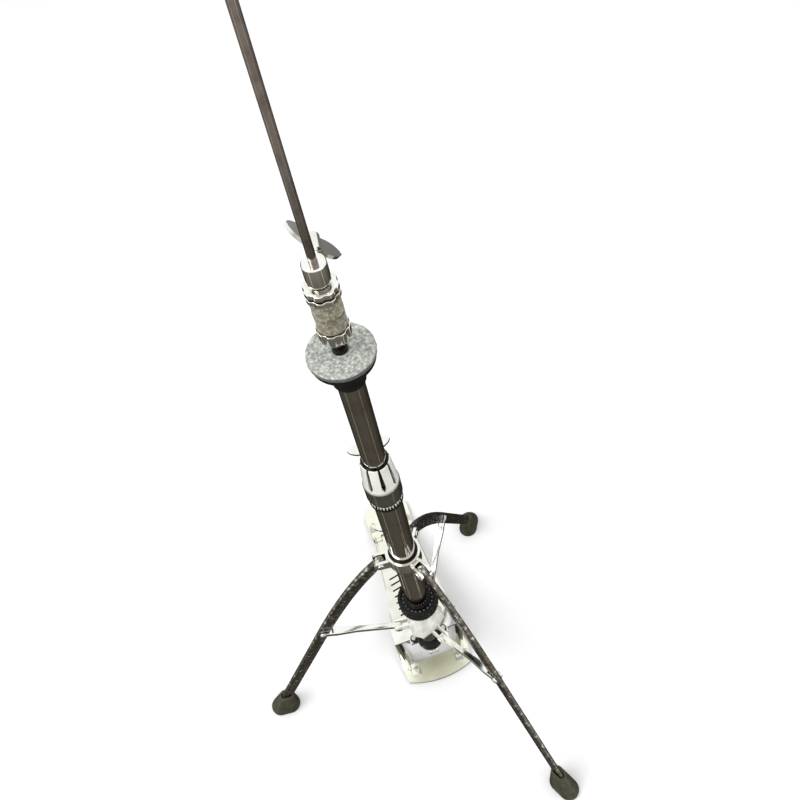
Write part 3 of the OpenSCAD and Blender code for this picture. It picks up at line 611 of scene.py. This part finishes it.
def foot_ribs(side, azimuth):
    """Moulded ribs down the toe of a rubber foot, and the lip round its leg socket."""
    c, s = math.cos(math.radians(azimuth)), math.sin(math.radians(azimuth))
    mesh = bmesh.new()

    def place(r, w, z):
        return Vector((r * c - w * s, r * s + w * c, z))

    def tube(path, radius, closed):
        """A round bead along the path. An open one tapers at its ends."""
        rings = []
        for i, point in enumerate(path):
            after = path[(i + 1) % len(path)] if closed or i + 1 < len(path) else point
            before = path[i - 1] if closed or i else point
            along = (after - before).normalized()
            across = along.cross(Vector((0, 0, 1))).normalized()
            lift = across.cross(along)
            size = radius
            if not closed:
                size *= math.sin(math.pi * (0.06 + 0.88 * i / (len(path) - 1))) ** 0.4
            rings.append([
                mesh.verts.new((point + size * (across * x + lift * y)) * MM)
                for x, y in arc(0, 0, 1, 0, 324, 9)
            ])
        loops_to_faces(mesh, rings, close_path=closed)
        if not closed:
            mesh.faces.new(rings[0])
            mesh.faces.new(rings[-1])

    for k in range(5):
        t = 0.04 + 0.16 * k
        centre, reach, height = (a + (b - a) * t for a, b in zip(TOE_TOP, TOE_BOTTOM))
        tube([place(r, w, height) for r, w in arc(centre, 0, reach, -48, 48, 16)], 1.5, False)
    lip = []
    for x, y in arc(0, 0, 1, 0, 348.75, 31):
        r = SOCKET_R + 9.5 * math.copysign(abs(x) ** 0.6, x)
        w = 5.0 * math.copysign(abs(y) ** 0.6, y)
        lip.append(place(r, w, FOOT_TOP))
    tube(lip, 1.3, True)
    new_object("foot_" + side + "_ribs", mesh, [], "leg_" + side + "_body", 60, "rubber_olive")


def felt_ring(mesh, r_out, r_in, low, high, crown, seed, hollow=0.0):
    """Pressed felt disc: rounded, lumpy edges, and a slight waist where hollow isn't 0."""
    corner = min(1.6, (high - low) * 0.3)
    steps = max(6, int((high - low) / 0.8))
    rise = high - low - 2 * corner
    side = [
        (r_out - hollow * math.sin(math.pi * i / steps), low + corner + rise * i / steps)
        for i in range(steps + 1)
    ]
    bore_edge = 0.4
    flat = r_out - r_in - bore_edge - corner
    rounds = [(corner * math.sin(a), corner * math.cos(a)) for a in (0.4, 0.8, 1.2)]
    profile = [(r_in, low + bore_edge)]
    profile += [(r_in + bore_edge + flat * i / 8, low) for i in range(9)]
    profile += [(r_out - corner + x, low + corner - y) for x, y in rounds]
    profile += side
    profile += [(r_out - corner + y, high - corner + x) for x, y in rounds]
    profile += [(r_out - corner - flat * i / 12, high) for i in range(13)]
    profile += [(r_in, high - bore_edge)]
    rings = []
    count = 160
    for k in range(count):
        angle = 2 * math.pi * k / count
        ring = []
        for r, z in profile:
            spot = Vector((r * math.cos(angle), r * math.sin(angle), z))
            lump = noise.noise(spot * 0.28 + Vector((seed, 0, 0))) * 0.55
            lump += noise.noise(spot * 1.1 + Vector((0, seed, 0))) * 0.3
            edge = min(1, (r - r_in) / 2)
            sink = 0
            if z > high - 0.5:
                sink = -abs(lump) * edge * crown
            elif z < low + 0.5:
                sink = abs(lump) * edge * crown
            out = lump * 0.6 * edge - 0.15 if low + 0.3 < z < high - 0.3 else 0
            ring.append(mesh.verts.new((
                (r + out) * math.cos(angle) * MM, (r + out) * math.sin(angle) * MM, (z + sink) * MM
            )))
        rings.append(ring)
    loops_to_faces(mesh, rings, close_path=True)


def felts():
    """The seat's felt and the clutch's two felts."""
    mesh = bmesh.new()
    felt_ring(mesh, 26.5, 5.95, 794.75, 801, 0.5, 3)
    new_object("seat_felt_pressed", mesh, ["seat_felt"], smooth_angle=80)
    mesh = bmesh.new()
    felt_ring(mesh, 11.3, 6.05, 828.5, 843, 0.3, 7, 0.3)
    felt_ring(mesh, 11.3, 6.05, 843.2, 858.6, 0.3, 11, 0.3)
    new_object("clutch_felts_pressed", mesh, ["clutch_felts"], smooth_angle=80)


def dial_studs():
    """Small domes in the groove on top of the dial, grey as a painted highlight on the black."""
    mesh = bmesh.new()
    for k in range(STUDS):
        angle = 2 * math.pi * k / STUDS
        x, y = DIAL_GROOVE_R * math.cos(angle), DIAL_GROOVE_R * math.sin(angle)
        centre = Vector((x, y, DIAL_GROOVE_Z))
        rings = []
        for tilt in range(0, 90, 15):
            radius, lift = 0.95 * math.cos(math.radians(tilt)), 0.8 * math.sin(math.radians(tilt))
            rings.append([
                mesh.verts.new((centre + Vector((
                    radius * math.cos(math.pi * j / 6), radius * math.sin(math.pi * j / 6), lift
                ))) * MM)
                for j in range(12)
            ])
        loops_to_faces(mesh, rings)
        mesh.faces.new(rings[-1])
    new_object("dial_studs", mesh, [], "dial", slot="dial_stud_glint")


def slot_shade_pads():
    """Dark strips in the footboard's slots, in a chevron: painted shade standing for the dark
    inside the slots.
    """
    mesh = bmesh.new()
    board = Matrix.Translation(BOARD_HINGE) @ Matrix.Rotation(math.radians(-BOARD_SLOPE), 4, "X")
    for i in range(7):
        for side in (1, -1):
            place = board @ Matrix.Translation((side * 0.022, -0.095 - 0.0128 * i, 0.0016))
            place = place @ Matrix.Rotation(math.radians(-side * 15), 4, "Z")
            outline = arc(7.2, 0, 2.1, -90, 90, 8) + arc(-7.2, 0, 2.1, 90, 270, 8)
            rings = [
                [mesh.verts.new(place @ (Vector((x * k, y * k, h)) * MM)) for x, y in outline]
                for k, h in ((1.0, 0.0), (1.0, 1.0), (0.96, 1.3))
            ]
            loops_to_faces(mesh, rings)
            mesh.faces.new(rings[0])
            mesh.faces.new(rings[-1])
    new_object("footboard_slot_shade_pads", mesh, [], "pedal", slot="slot_shade")


def spring_coil():
    """The return spring, as an object with a mesh of its own."""
    mesh = bmesh.new()
    mesh.from_mesh(NODES["return_spring"].data)
    spring = new_object("return_spring_coil", mesh, ["return_spring"], smooth_angle=60)
    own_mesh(spring)


# ---- the object ----

make_camera()
make_world()
make_floor()
make_backdrop()
area_light("key", (-1.5, -0.1, 2.3), (0, 0, 0.4), 1.4, 26)
area_light("fill", (1.6, -1.6, 1.9), (0, 0, 0.3), 1.6, 6)

for node, obj in NODES.items():
    obj.data.materials.clear()
    obj.data.materials.append(MATERIALS[SLOT_OF[node]])

# Nodes by the width in millimetres of the rounding on their hard edges
EASE = {
    0.4: "base_frame yoke_bolts rod_clevis dial_retainer clamp_band seat_sleeve clutch_lock_nut",
    0.5: "floor_pads heel_plate toe_bracket pull_link brace_front brace_back brace_left "
    "rivet_front rivet_back rivet_left seat_cup",
    0.9: "column_yoke leg_collar collar_wing_bolt clamp_wing_bolt clutch_wing_bolt",
    0.7: "column_socket",
    0.6: "heel_hinge_pin footboard tension_dial height_clamp clutch_body",
    0.3: "toe_pin lower_tube upper_tube upper_rod",
    0.8: "brace_hub",
    0.35: "brace_pins collar_bush leg_pins",
    1.6: "foot_front foot_back foot_left",
    0.45: "clutch_top_nut clutch_bottom_nut",
}
for width, nodes in EASE.items():
    for node in nodes.split():
        eased(node, width)
for side, azimuth in LEG_AZIMUTH.items():
    leg(side, azimuth)
    foot_ribs(side, azimuth)

felts()
dial_studs()
slot_shade_pads()
spring_coil()

scene.view_settings.view_transform = "Standard"
scene.view_settings.look = "None"
